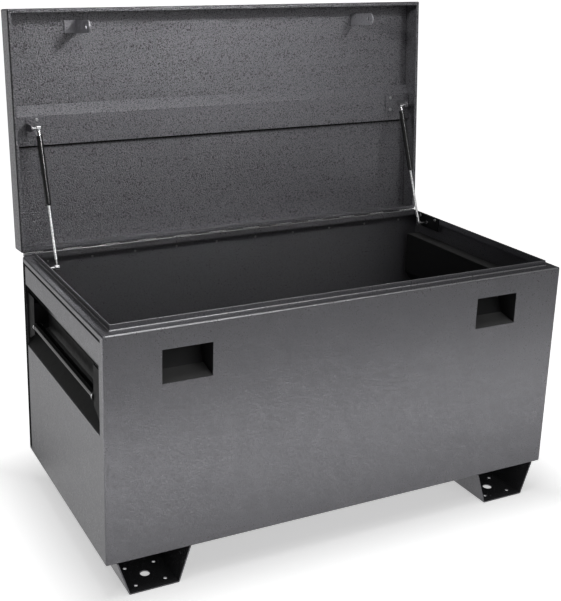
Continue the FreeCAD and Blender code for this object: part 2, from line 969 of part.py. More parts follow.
def socket(level, neck_start, neck_end):
    """A strut's end fitting: an eye with a blind bore for its stud, on a round neck."""
    half = size.socket_width / 2
    eye = round_bar("x", (-half, 0, level), size.socket_radius, size.socket_width)
    neck = round_bar("z", (0, 0, neck_start), size.socket_neck_radius, neck_end - neck_start)
    bore = round_bar(
        "x", (-half, 0, level), size.stud_radius + size.stud_clearance, size.socket_bore_depth
    )
    return along_strut(cut(fuse(eye, neck), bore))


def struts():
    rod_end = tube_base + size.gland_length + size.piston_reserve
    neck_offset = (size.stud_radius + size.socket_radius) / 2
    keep_pair(socket(0, neck_offset, size.socket_reach), "rod_socket")
    rod = round_bar("z", (0, 0, size.socket_reach), size.rod_radius, rod_end - size.socket_reach)
    keep_pair(along_strut(group([rod])), "strut_rod")

    inner = size.cylinder_radius - size.cylinder_wall
    piston = round_bar("z", (0, 0, rod_end), inner - size.piston_clearance, size.piston_length)
    keep_pair(along_strut(group([piston])), "strut_piston")

    tube = round_bar("z", (0, 0, tube_base), size.cylinder_radius, tube_length)
    hollow = round_bar("z", (0, 0, tube_base), inner, tube_length - size.cylinder_cap)
    keep_pair(along_strut(cut(tube, hollow)), "strut_cylinder")

    lip_base = tube_base - size.gland_lip
    running = size.rod_radius + size.stud_clearance
    plug = round_bar("z", (0, 0, tube_base), inner - size.fastener_clearance, size.gland_length)
    lip = taper(
        "z", (0, 0, lip_base), size.socket_neck_radius, size.cylinder_radius, size.gland_lip
    )
    passage = round_bar("z", (0, 0, lip_base), running, size.gland_lip + size.gland_length)
    keep_pair(along_strut(cut(fuse(plug, lip), passage)), "strut_gland")

    neck_start = strut_open - size.socket_reach
    keep_pair(socket(strut_open, neck_start, strut_open - neck_offset), "cylinder_socket")


def stud(start, y, z, length):
    """A stud that points inboard, with a collar at its seat."""
    collar = round_bar("x", (start, y, z), size.stud_collar_radius, size.stud_collar_length)
    shank = round_bar("x", (start, y, z), size.stud_radius, length)
    return fuse(collar, shank)


def box_strut_brackets():
    """Plates inside the lip that carry the struts' feet."""
    sheet = size.strut_bracket_sheet
    outer = -side + lip_face
    half = size.box_bracket_length / 2
    plate = block(
        (outer, outer + sheet),
        (foot_y - half, foot_y + half),
        (seam - size.box_bracket_drop, seam + size.box_bracket_rise),
    )
    holes = [
        round_bar("x", (outer, y, box_screw_level), hole_radius.screw, sheet)
        for y in box_screw_places
    ]
    keep_pair(cut(plate, *holes), "box_strut_bracket")
    tip = socket_face + size.socket_bore_depth - size.stud_tip_gap
    seat = outer + sheet
    keep_pair(stud(seat, foot_y, foot_z, tip - seat), "box_ball_stud")

    screws = []
    for y in box_screw_places:
        head = taper(
            "x",
            (seat, y, box_screw_level),
            size.screw_head_radius,
            size.screw_crown_radius,
            size.screw_head_height,
        )
        length = sheet + size.panel_sheet
        shank = round_bar("x", (seat - length, y, box_screw_level), size.screw_shank_radius, length)
        screws.append(fuse(head, shank))
    keep(group(screws + [mirror(screw) for screw in screws]), "box_bracket_screws")


def lid_strut_brackets():
    """Angle brackets on the stiffener that carry the struts' heads."""
    sheet = size.strut_bracket_sheet
    seat = socket_face - size.lid_stud_length
    outer = seat - sheet
    half = size.lid_bracket_length / 2
    low = stiffener_level - sheet
    ear = size.lid_bracket_ear_radius
    base = block(
        (outer, outer + size.lid_bracket_base),
        (head_y - half, head_y + half),
        (low, stiffener_level),
    )
    arm = block((outer, seat), (head_y - ear, head_y + ear), (head_z, stiffener_level))
    end = round_bar("x", (outer, head_y, head_z), ear, sheet)
    holes = [
        round_bar("z", (lid_rivet_x, y, low), hole_radius.rivet, sheet) for y in lid_rivet_places
    ]
    keep_pair(put_on_lid(cut(fuse(base, arm, end), *holes)), "lid_strut_bracket")
    length = size.lid_stud_length - size.stud_tip_gap
    keep_pair(put_on_lid(stud(seat, head_y, head_z, length)), "lid_ball_stud")

    rivets = []
    for y in lid_rivet_places:
        head = taper(
            "z",
            (lid_rivet_x, y, low - size.rivet_head_height),
            size.rivet_crown_radius,
            size.rivet_head_radius,
            size.rivet_head_height,
        )
        length = sheet + size.stiffener_sheet
        shank = round_bar("z", (lid_rivet_x, y, low), size.rivet_shank_radius, length)
        formed = round_bar(
            "z", (lid_rivet_x, y, low + length), size.rivet_tail_radius, size.rivet_tail_height
        )
        rivets.append(fuse(head, shank, formed))
    pieces = rivets + [mirror(rivet) for rivet in rivets]
    keep(put_on_lid(group(pieces)), "lid_bracket_rivets")


def check_and_write():
    """Stop on any failed object, then write each sub-part's shape to its file."""
    doc.recompute()
    failed = [o.Name for o in doc.Objects if {"Invalid", "Error"} & set(o.State)]
    if failed:
        raise RuntimeError(f"Failed objects: {failed}")
    for piece in sub_parts:
        if piece.Shape.isNull() or not piece.Shape.isValid():
            raise RuntimeError(f"Bad shape: {piece.Label}")
    os.makedirs("parts", exist_ok=True)
    for piece in sub_parts:
        piece.Shape.exportStep(f"parts/{piece.Label}.step")
        print(piece.Label, len(piece.Shape.Solids), round(piece.Shape.Volume))


floor_pan()
front_panel()
back_panel()
side_panels()
top_rim()
handle_recesses()
handle_brackets()
handle_bars()
lock_housings()
skids()
hinge()
hinge_rivets()
lid_pan()
lid_stiffener()
catches()
struts()
box_strut_brackets()
lid_strut_brackets()
check_and_write()
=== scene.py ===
# %% [markdown]
# # A jobsite storage box, dressed and lit
# The box is a sheet-steel chest on two skids. Its shape already exists as solid parts,
# so this lesson loads them, and then adds what solids lack: paint, bright metal, the
# small fasteners, a floor, light and a camera. Everything is in metres, with the origin
# on the floor under the box, the front facing -Y and +Z up.

# %% Load the solid parts
import json
import math

import bmesh
import bpy
from mathutils import Matrix, Vector


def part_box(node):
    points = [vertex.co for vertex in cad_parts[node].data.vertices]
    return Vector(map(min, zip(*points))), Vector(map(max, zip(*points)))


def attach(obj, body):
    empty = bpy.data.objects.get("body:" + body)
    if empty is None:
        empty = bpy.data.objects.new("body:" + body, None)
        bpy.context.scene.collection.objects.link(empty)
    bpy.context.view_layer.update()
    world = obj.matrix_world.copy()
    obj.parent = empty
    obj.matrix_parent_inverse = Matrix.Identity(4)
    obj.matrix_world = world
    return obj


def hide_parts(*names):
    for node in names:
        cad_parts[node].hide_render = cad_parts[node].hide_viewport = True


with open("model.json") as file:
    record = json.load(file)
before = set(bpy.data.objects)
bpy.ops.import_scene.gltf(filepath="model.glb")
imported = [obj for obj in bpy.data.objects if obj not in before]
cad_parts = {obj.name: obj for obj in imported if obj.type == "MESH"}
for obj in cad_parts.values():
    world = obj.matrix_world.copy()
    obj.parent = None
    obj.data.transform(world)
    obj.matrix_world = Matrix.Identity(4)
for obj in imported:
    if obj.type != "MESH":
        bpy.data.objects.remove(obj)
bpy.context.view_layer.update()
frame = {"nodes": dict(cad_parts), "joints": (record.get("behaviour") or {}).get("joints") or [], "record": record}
nodes = frame["nodes"]
scene = bpy.context.scene
scene.view_settings.view_transform = "Standard"

# %% [markdown]
# ## Where things are
# Pieces that are added later must sit on the parts that carry them, so their places are
# read from the parts. The lid is harder, because it leans back at its open stop. It is
# easiest to think of the lid as shut and level, and to swing the finished piece open
# about the hinge line. The matrix for that swing comes from the hinge joint itself.

# %% Box corners and the lid's swing
half_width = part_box("front_panel")[1].x
half_depth = -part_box("front_panel")[0].y

lid_joint = next(joint for joint in frame["joints"] if joint["name"] == "lid_hinge")
hinge_line = Vector(lid_joint["pos_m"])
open_angle = math.radians(lid_joint["range_deg"][1])
swing_open = (
    Matrix.Translation(hinge_line)
    @ Matrix.Rotation(-open_angle, 4, "X")
    @ Matrix.Translation(-hinge_line)
)
swing_shut = swing_open.inverted()


def box_when_shut(node):
    """Lowest and highest corner of a lid part, with the lid swung shut."""
    places = [swing_shut @ vertex.co for vertex in nodes[node].data.vertices]
    low = Vector([min(place[axis] for place in places) for axis in range(3)])
    high = Vector([max(place[axis] for place in places) for axis in range(3)])
    return low, high


print("half width", round(half_width, 4), "m")
print("hinge line at", [round(value, 4) for value in hinge_line])

# %% [markdown]
# ## A helper for shader graphs
# A procedural material is a graph of small nodes. Typing every node and link by hand
# hides the idea of the material in bookkeeping, so a first class adds a node, sets its
# values and wires it in one call, in any kind of tree. A second one builds on it for
# materials. Object coordinates drive every texture: the parts all sit at the origin, so
# a pattern runs on from one panel to the next. The second class can also tell where a
# point is and which way its face points. Both are read in the part's own frame, so what
# they paint stays put when the lid swings.

# %% Node wiring helper
class Wiring:
    """Adds nodes to a tree, sets their values and wires them."""

    def __init__(self, tree):
        self.tree = tree

    def fill(self, socket, value):
        """Wire a socket to a node's output, or give it a plain value."""
        if isinstance(value, bpy.types.NodeSocket):
            self.tree.links.new(value, socket)
        else:
            socket.default_value = value

    def add(self, kind, inputs=None, **settings):
        node = self.tree.nodes.new(kind)
        for key, value in settings.items():
            setattr(node, key, value)
        for key, value in (inputs or {}).items():
            self.fill(node.inputs[key], value)
        return node

    def combine(self, operation, first, *others):
        """Work out one value from several, taken in turn."""
        for other in others:
            first = self.add("ShaderNodeMath", {0: first, 1: other}, operation=operation).outputs[0]
        return first

    def remap(self, value, old_low, old_high, new_low, new_high):
        inputs = {
            "Value": value,
            "From Min": old_low,
            "From Max": old_high,
            "To Min": new_low,
            "To Max": new_high,
        }
        return self.add("ShaderNodeMapRange", inputs).outputs["Result"]


print("node wiring helper ready")

# %% Shader graph helper
class Graph(Wiring):
    def __init__(self, name):
        self.material = bpy.data.materials.new(name)
        self.material.use_nodes = True
        super().__init__(self.material.node_tree)
        self.shader = self.tree.nodes["Principled BSDF"]
        self.place = self.add("ShaderNodeTexCoord").outputs["Object"]

    def noise(self, scale, detail=2.0, roughness=0.5):
        inputs = {"Scale": scale, "Detail": detail, "Roughness": roughness, "Vector": self.place}
        return self.add("ShaderNodeTexNoise", inputs).outputs["Fac"]

    def cells(self, scale, smoothness):
        inputs = {"Scale": scale, "Smoothness": smoothness, "Vector": self.place}
        return self.add("ShaderNodeTexVoronoi", inputs, feature="SMOOTH_F1").outputs["Distance"]

    def rise(self, value, low, high, top=1.0):
        return self.remap(value, low, high, 0.0, top)

    def fall(self, value, low, high, top=1.0):
        return self.remap(value, low, high, top, 0.0)

    def blend(self, factor, first, second):
        node = self.add("ShaderNodeMix", data_type="RGBA")
        for socket, value in zip((node.inputs[0], node.inputs[6], node.inputs[7]), (factor, first, second)):
            self.fill(socket, value)
        return node.outputs[2]

    def bump(self, height, strength, distance):
        inputs = {"Height": height, "Strength": strength, "Distance": distance}
        return self.add("ShaderNodeBump", inputs).outputs["Normal"]

    def spot(self):
        """How far a point is from the box's middle plane, and its Y and Z."""
        x, y, z = self.add("ShaderNodeSeparateXYZ", {0: self.place}).outputs
        return self.combine("ABSOLUTE", x, 0.0), y, z

    def facing(self):
        """The X, Y and Z of the direction that a face points in."""
        normal = self.add("ShaderNodeTexCoord").outputs["Normal"]
        return self.add("ShaderNodeSeparateXYZ", {0: normal}).outputs

    def feed(self, **values):
        """Set or wire inputs of the surface shader; underscores stand for spaces."""
        for key, value in values.items():
            self.fill(self.shader.inputs[key.replace("_", " ")], value)
        return self.material


print("shader graph helper ready")

# %% [markdown]
# ## Where the coat carries painted shade and painted highlights
# Some places on the box are painted black as painted shade: the roll into each handle
# recess, the strips where the back is folded round the rear corners, the gap under the
# rim at each end, the shadow under the foot of the lid's stiffener and the shade just
# inside the lid's outer edge. The bends round the rim are painted paler, as painted
# highlights where they catch the light. Such marks could be cut into a mesh, but the
# solids stay as they are here, so each mark is a factor instead, which is 0 away from the
# mark and close to 1 on it. The place of a point makes the factor, and so does the
# direction of its face where a mark lies on one side of a sheet only. Most steps are
# spread over a millimetre or a few, because a hard edge would flicker when seen from far off.

# %% Painted shade on the ends and the back
end_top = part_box("left_side_panel")[1].z
STEP = 0.001
SOFT_STEP = 0.002
ROLL_START = 0.0001
ROLL_DEPTH = 0.0030
ROLL_FAINT = 0.10
ROLL_FRONT = -0.02
ROLL_REAR = 0.10
ROLL_FOOT = 0.505
ROLL_HEAD = 0.562
CORNER_STRIP = 0.025
CORNER_BLACK = 0.95
RIM_GAP_STRIP = 0.0075
RIM_GAP_SHADE = 0.9


def recess_roll_shade(graph, reach, y, z):
    """Painted shade: nothing on a flat end panel, and all of the roll that leads into its handle recess."""
    edge = graph.fall(reach, half_width - 2 * ROLL_START, half_width - ROLL_START)
    above = graph.rise(z, ROLL_FOOT, ROLL_FOOT + STEP)
    below = graph.fall(z, ROLL_HEAD, ROLL_HEAD + STEP)
    # Painted shade: black from the very edge towards the rear, fading in over the first few millimetres at the
    # front.
    sunk = graph.remap(reach, half_width - ROLL_DEPTH, half_width - ROLL_START, 1.0, ROLL_FAINT)
    rearward = graph.rise(y, ROLL_FRONT, ROLL_REAR)
    return graph.combine("MULTIPLY", edge, above, below, graph.combine("MAXIMUM", sunk, rearward))


def rear_corner_shade(graph, reach, y, z):
    """Painted shade on the narrow strips where the back panel is folded round onto the ends."""
    outer = graph.rise(reach, half_width - 2 * STEP, half_width - STEP, CORNER_BLACK)
    strip_start = half_depth - CORNER_STRIP
    return graph.combine("MULTIPLY", outer, graph.rise(y, strip_start, strip_start + SOFT_STEP))


def end_shades(graph, reach, y, z):
    """All the painted shade on an end: the roll, the strip along the rear fold and the gap under the rim."""
    # Painted shade: a strip along the top of the end, where the gap under the rim is in shadow.
    outer = graph.rise(reach, half_width - 2 * STEP, half_width - STEP, RIM_GAP_SHADE)
    strip_start = end_top - RIM_GAP_STRIP
    joint = graph.combine("MULTIPLY", outer, graph.rise(z, strip_start, strip_start + SOFT_STEP))
    return graph.combine("MAXIMUM", recess_roll_shade(graph, reach, y, z), rear_corner_shade(graph, reach, y, z), joint)


print("ends are", round(end_top, 4), "m high at the joint under the rim")

# %% Painted shadows in the lid and painted highlights on bends
stiffener_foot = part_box("lid_stiffener")[0].z
FOOT_LINE = 0.009
LID_LIP = 0.021
LID_EDGE = 0.0050
EDGE_BLACK = 0.8
INSIDE_BLACK = 0.95
INSIDE_TURN = (-0.6, -0.5)
END_BEND = 0.010
BEND_START = (0.25, 0.40)
BEND_END = (0.90, 0.97)


def lid_shadow_lines(graph, reach, y, z):
    """Painted shadows inside the lid: along the foot of its stiffener and round its outer edge."""
    inside = graph.fall(graph.facing()[1], *INSIDE_TURN, INSIDE_BLACK)
    line_start = stiffener_foot - FOOT_LINE
    above = graph.rise(z, line_start, line_start + 2 * SOFT_STEP)
    below = graph.fall(z, stiffener_foot, stiffener_foot + STEP)
    between = graph.fall(reach, half_width - LID_LIP, half_width - LID_LIP + STEP)
    foot = graph.combine("MULTIPLY", above, below, between)
    edge = graph.rise(reach, half_width - LID_EDGE, half_width - LID_EDGE + SOFT_STEP, EDGE_BLACK)
    return graph.combine("MULTIPLY", inside, graph.combine("MAXIMUM", foot, edge))


def painted_bend_highlight(graph, reach, y, z):
    """Painted highlights on the narrow bends between upright and level faces, but for those above the ends."""
    up = graph.facing()[2]
    rising = graph.rise(up, *BEND_START)
    level = graph.fall(up, *BEND_END)
    between = graph.fall(reach, half_width - END_BEND, half_width - END_BEND + 2 * SOFT_STEP)
    return graph.combine("MULTIPLY", rising, level, between)


print("stiffener foot at", round(stiffener_foot, 4), "m")

# %% [markdown]
# ## Hammered grey coat
# The box wears a hammered powder coat: dark resin with metal flakes that gather into
# small cells as it cures. Seen close it is a fine mottle of lighter and darker specks a
# few millimetres across, and it shines more like dull metal than like plastic. A flat
# grey with a bump would miss the specks, so noise of two sizes drives the colour, and
# smooth cells drive a shallow bump. Being mostly metallic lets it darken wherever it
# faces something dark, as it does inside the box. The lid's specks are stronger, with
# painted glints where light grazes it. The hinge is painted darker, as painted shade, and
# the catches paler, as painted light. The factors above blend in matt black as painted
# shade, or a paler grey as painted highlights.

# %% Hammered grey coat
MATT_BLACK = (0.008, 0.008, 0.0084, 1.0)
MATT_SHINE = 0.02
GREY = 0.182
FLAKE = 0.68
SHINE = 0.5
LACQUER = 0.15
LACQUER_ROUGHNESS = 0.2
CLOUD_SCALE = 30.0
CLOUD_SHARE = 0.15
SPECK_RANGE = (0.36, 0.64)
GLOSS_RANGE = (0.35, 0.65)
DARK_ROUGHNESS = 0.34
PALE_ROUGHNESS = 0.26
DIMPLE_SCALE = 330.0
DIMPLE_SMOOTHNESS = 0.5
DIMPLE_SHARE = 0.4
GRAIN_STRENGTH = 0.7


def grey_tint(value):
    return (value, value * 0.99, value * 1.06, 1.0)


def hammered_grey_coat(
    name, grain_scale, contrast, relief, shade=GREY, cloudy=CLOUD_SHARE, bend_highlight=None, painted_shade=None
):
    graph = Graph(name)
    specks = graph.noise(grain_scale, detail=3.0, roughness=0.7)
    clouds = graph.noise(CLOUD_SCALE)
    speck_part = graph.combine("MULTIPLY", specks, 1 - cloudy)
    mottle = graph.combine("ADD", speck_part, graph.combine("MULTIPLY", clouds, cloudy))
    spread = graph.rise(mottle, *SPECK_RANGE)
    colour = graph.blend(spread, grey_tint(shade * (1 - contrast)), grey_tint(shade * (1 + contrast)))
    gloss = graph.remap(mottle, *GLOSS_RANGE, DARK_ROUGHNESS, PALE_ROUGHNESS)
    metallic, shine, lacquer = FLAKE, SHINE, LACQUER
    # Painted highlight: the bends that face up turn a paler grey.
    if bend_highlight:
        bend = painted_bend_highlight(graph, *graph.spot())
        colour = graph.blend(bend, colour, (bend_highlight, bend_highlight, bend_highlight * 1.03, 1.0))
    # Painted shade: where a mark's factor is high, the coat turns matt black.
    if painted_shade:
        black = painted_shade(graph, *graph.spot())
        colour = graph.blend(black, colour, MATT_BLACK)
        metallic = graph.fall(black, 0.0, 1.0, FLAKE)
        gloss = graph.combine("MAXIMUM", gloss, black)
        shine = graph.remap(black, 0.0, 1.0, SHINE, MATT_SHINE)
        lacquer = graph.fall(black, 0.0, 0.5, LACQUER)
    dimples = graph.combine("MULTIPLY", graph.cells(DIMPLE_SCALE, DIMPLE_SMOOTHNESS), DIMPLE_SHARE)
    grain = graph.combine("ADD", dimples, graph.combine("MULTIPLY", specks, 1 - DIMPLE_SHARE))
    return graph.feed(
        Base_Color=colour,
        Metallic=metallic,
        Roughness=gloss,
        Normal=graph.bump(grain, GRAIN_STRENGTH, relief),
        Specular_IOR_Level=shine,
        Coat_Weight=lacquer,
        Coat_Roughness=LACQUER_ROUGHNESS,
    )


print("coat is", FLAKE, "metallic")

# %% Coats of the box and the lid
BOX_GRAIN = 240.0
BOX_CONTRAST = 0.20
BOX_RELIEF = 0.0009
LID_GRAIN = 290.0
# The lid's colour specks are stronger than the box's: painted glints of grazing light on top of the random tone.
LID_GLINT_CONTRAST = 0.75
LID_RELIEF = 0.0030
LID_CLOUDY = 0.03

grey_coat = hammered_grey_coat("hammered_grey_coat", BOX_GRAIN, BOX_CONTRAST, BOX_RELIEF)
# The rim and the front carry painted highlights on their bends.
rim_coat = hammered_grey_coat("hammered_rim_coat", BOX_GRAIN, BOX_CONTRAST, relief=0.0005, bend_highlight=0.55)
lid_coat = hammered_grey_coat("hammered_lid_coat", LID_GRAIN, LID_GLINT_CONTRAST, LID_RELIEF, cloudy=LID_CLOUDY)
lid_pan_coat = hammered_grey_coat(
    "hammered_lid_pan_coat", LID_GRAIN, LID_GLINT_CONTRAST, LID_RELIEF, cloudy=LID_CLOUDY, painted_shade=lid_shadow_lines
)
# Painted shade: the hinge wears the same coat, painted darker.
hinge_shaded_coat = hammered_grey_coat("hammered_hinge_coat", BOX_GRAIN, BOX_CONTRAST, BOX_RELIEF, shade=0.07)
# Painted light: the catches wear the same coat, painted paler, so faces that the lamps barely reach stay light.
catch_lit_coat = hammered_grey_coat("hammered_catch_coat", BOX_GRAIN, contrast=0.16, relief=0.0008, shade=0.40)
end_coat = hammered_grey_coat(
    "hammered_end_coat", BOX_GRAIN, contrast=0.12, relief=0.0007, painted_shade=end_shades
)
back_coat = hammered_grey_coat(
    "hammered_back_coat", BOX_GRAIN, BOX_CONTRAST, BOX_RELIEF, painted_shade=rear_corner_shade
)
coats = (grey_coat, rim_coat, lid_coat, lid_pan_coat, hinge_shaded_coat, catch_lit_coat, end_coat, back_coat)
print("made", [coat.name for coat in coats])

# %% [markdown]
# ## Black coat
# The handle brackets and the lower strut brackets are matt black, and soak up nearly all
# light. The handle recesses and the lock housings are a little paler, with painted light
# on the faces that point up: the direction of a face tells which faces the light falls on
# from above. The handle tubes and the strut tubes are gloss black, which shows as a thin
# bright line along each.
# A pure black would look like a hole, so the colour stays above it, and a faint bump
# breaks up reflections.

# %% Black coats
HAZE_SCALE = 60.0
HAZE_RANGE = (0.3, 0.7)
PEEL_SCALE = 520.0
PEEL_STRENGTH = 0.12
PEEL_DEPTH = 0.0003
TOP_LIGHT_TURN = (0.4, 0.9)


def black_tint(value):
    return (value, value, value * 1.05, 1.0)


def black_coat(name, shade, roughest, smoothest, shine, top_light=0.0):
    graph = Graph(name)
    haze = graph.noise(HAZE_SCALE, detail=3.0)
    peel = graph.noise(PEEL_SCALE)
    colour = graph.blend(haze, black_tint(shade * 0.7), black_tint(shade * 1.3))
    # Painted light: faces that point up are paler, as if lit from above.
    if top_light:
        lit_from_above = graph.rise(graph.facing()[2], *TOP_LIGHT_TURN)
        colour = graph.blend(lit_from_above, colour, (top_light, top_light, top_light, 1.0))
    return graph.feed(
        Base_Color=colour,
        Roughness=graph.remap(haze, *HAZE_RANGE, smoothest, roughest),
        Normal=graph.bump(peel, PEEL_STRENGTH, PEEL_DEPTH),
        Specular_IOR_Level=shine,
    )


matt_black = black_coat("matt_black_coat", 0.0085, roughest=0.62, smoothest=0.52, shine=0.14)
# The housings and recesses carry painted light on their upward faces.
housing_black = black_coat("lock_housing_coat", 0.016, roughest=0.60, smoothest=0.50, shine=0.3, top_light=0.14)
recess_black = black_coat("handle_recess_coat", 0.012, roughest=0.62, smoothest=0.52, shine=0.25, top_light=0.05)
gloss_black = black_coat("gloss_black_tube", 0.006, roughest=0.10, smoothest=0.05, shine=0.5)
strut_black = black_coat("strut_tube_coat", 0.006, roughest=0.20, smoothest=0.14, shine=1.0)
blacks = (matt_black, housing_black, recess_black, gloss_black, strut_black)
print("made", [black.name for black in blacks])

# %% [markdown]
# ## Bright metal
# The ball studs, their sockets and the handle collars are hard chrome, and the rivets,
# screws and hinge pin are zinc plated. Chrome is almost a mirror, so all it needs is a
# trace of fine wear in its roughness. Zinc is duller and slightly cloudy. The strut rods
# are chrome as well, but a mirror would show the dark side of the studio, so their near
# white colour is a painted reflection of a white studio: they are only partly metallic,
# and scatter the light that reaches them.

# %% Chrome, zinc and a white rod with painted reflection
def polished_chrome():
    graph = Graph("polished_chrome")
    haze = graph.noise(180.0, detail=3.0)
    colour = graph.blend(haze, (0.60, 0.60, 0.61, 1.0), (0.72, 0.72, 0.73, 1.0))
    return graph.feed(
        Base_Color=colour,
        Metallic=1.0,
        Roughness=graph.remap(haze, *HAZE_RANGE, 0.08, 0.16),
        Normal=graph.bump(haze, 0.03, 0.0002),
    )


def dull_zinc():
    graph = Graph("dull_zinc")
    clouds = graph.noise(140.0, detail=4.0, roughness=0.6)
    scuffs = graph.noise(900.0)
    colour = graph.blend(clouds, (0.36, 0.36, 0.37, 1.0), (0.52, 0.52, 0.52, 1.0))
    return graph.feed(
        Base_Color=colour,
        Metallic=1.0,
        Roughness=graph.remap(clouds, *HAZE_RANGE, 0.30, 0.44),
        Normal=graph.bump(scuffs, 0.08, 0.0002),
    )


def make_painted_reflection_rod():
    graph = Graph("satin_steel_rod")
    haze = graph.noise(220.0, detail=3.0)
    # Painted reflection: the near-white colour stands in for the white studio that chrome would mirror.
    colour = graph.blend(haze, (0.88, 0.88, 0.89, 1.0), (0.95, 0.95, 0.95, 1.0))
    return graph.feed(
        Base_Color=colour,
        Metallic=0.3,
        Roughness=graph.remap(haze, *HAZE_RANGE, 0.22, 0.32),
        Normal=graph.bump(haze, 0.03, 0.0002),
    )


chrome = polished_chrome()
zinc = dull_zinc()
painted_reflection_rod = make_painted_reflection_rod()
print("made", chrome.name, zinc.name, painted_reflection_rod.name)

# %% [markdown]
# ## Put the finishes on the parts
# Each solid part names a finish in the record that came with it. A small table turns
# those names into the materials above, so no part is missed. The lid then gets its own
# coarser coat, and a second table gives some parts a finish of their own, such as the
# painted shade on the ends and the gloss of the strut tubes.

# %% Assign finishes
finish_for_slot = {
    "grey_coat": grey_coat,
    "black_coat": matt_black,
    "bright_steel": chrome,
    "plain_steel": zinc,
}
for subpart in frame["record"]["subparts"]:
    part = nodes[subpart["node"]]
    part.data.materials.clear()
    part.data.materials.append(finish_for_slot[subpart["material_slot"]])
for name in frame["record"]["behaviour"]["bodies"]["lid"]:
    if nodes[name].data.materials[0] == grey_coat:
        nodes[name].data.materials[0] = lid_coat

own_finish = {
    "top_rim": rim_coat,
    "front_panel": rim_coat,
    "back_panel": back_coat,
    "lid_pan": lid_pan_coat,
    "hinge_box_leaf": hinge_shaded_coat,
    "hinge_lid_leaf": hinge_shaded_coat,
}
finish_on_each_side = {
    "side_panel": end_coat,
    "handle_recess": recess_black,
    "handle_bar": gloss_black,
    "strut_cylinder": strut_black,
    "strut_gland": strut_black,
    "strut_rod": painted_reflection_rod,
    "lock_housing": housing_black,
    "box_strut_bracket": matt_black,
    "catch": catch_lit_coat,
}
for side_name in ("left", "right"):
    for piece_name, finish in finish_on_each_side.items():
        own_finish[side_name + "_" + piece_name] = finish
for name, finish in own_finish.items():
    nodes[name].data.materials[0] = finish

# %% [markdown]
# ## Rivets and screws from one kind of tree
# The hinge is held by two rows of blind rivets, and the strut brackets by rivets and
# screws. Each could be modelled by hand, but they repeat, so a Geometry Nodes tree makes
# them. It domes a sphere by flattening its lower half, sinks a dimple into the crown,
# adds the shank and the tail behind the sheet, and sets copies on the points of a line.
# For screws, a second tree has a cross cut by a boolean in place of the dimple.

# %% Geometry Nodes helper
class Tree(Wiring):
    def __init__(self, name):
        super().__init__(bpy.data.node_groups.new(name, "GeometryNodeTree"))
        self.tree.interface.new_socket("Geometry", in_out="OUTPUT", socket_type="NodeSocketGeometry")
        self.inputs = self.tree.nodes.new("NodeGroupInput")
        self.sockets = {}

    def size(self, name, kind="NodeSocketFloat"):
        """Declare a named input and give its socket inside the tree."""
        socket = self.tree.interface.new_socket(name, in_out="INPUT", socket_type=kind)
        self.sockets[name] = socket.identifier
        return next(out for out in self.inputs.outputs if out.identifier == socket.identifier)

    def vector(self, x=0.0, y=0.0, z=0.0):
        return self.add("ShaderNodeCombineXYZ", {0: x, 1: y, 2: z}).outputs[0]

    def move(self, geometry, place):
        inputs = {"Geometry": geometry, "Translation": place}
        return self.add("GeometryNodeTransform", inputs).outputs[0]

    def join(self, *geometries):
        node = self.add("GeometryNodeJoinGeometry")
        for geometry in geometries:
            self.tree.links.new(geometry, node.inputs[0])
        return node.outputs[0]

    def close(self, geometry, material):
        """End the tree in real mesh with a material, as an export needs."""
        real = self.add("GeometryNodeRealizeInstances", {"Geometry": geometry}).outputs[0]
        dressed = self.add("GeometryNodeSetMaterial", {"Geometry": real, "Material": material}).outputs[0]
        output = self.tree.nodes.new("NodeGroupOutput")
        self.tree.links.new(dressed, output.inputs[0])


print("geometry nodes helper ready")

# %% Rivet and screw trees
HEAD_SEGMENTS = 24
HEAD_RINGS = 18
CROWN_START = 0.93
CROWN_DIP = 0.35
CROSS_LENGTH = 1.1
CROSS_WIDTH = 0.24
CROSS_LIFT = 0.92


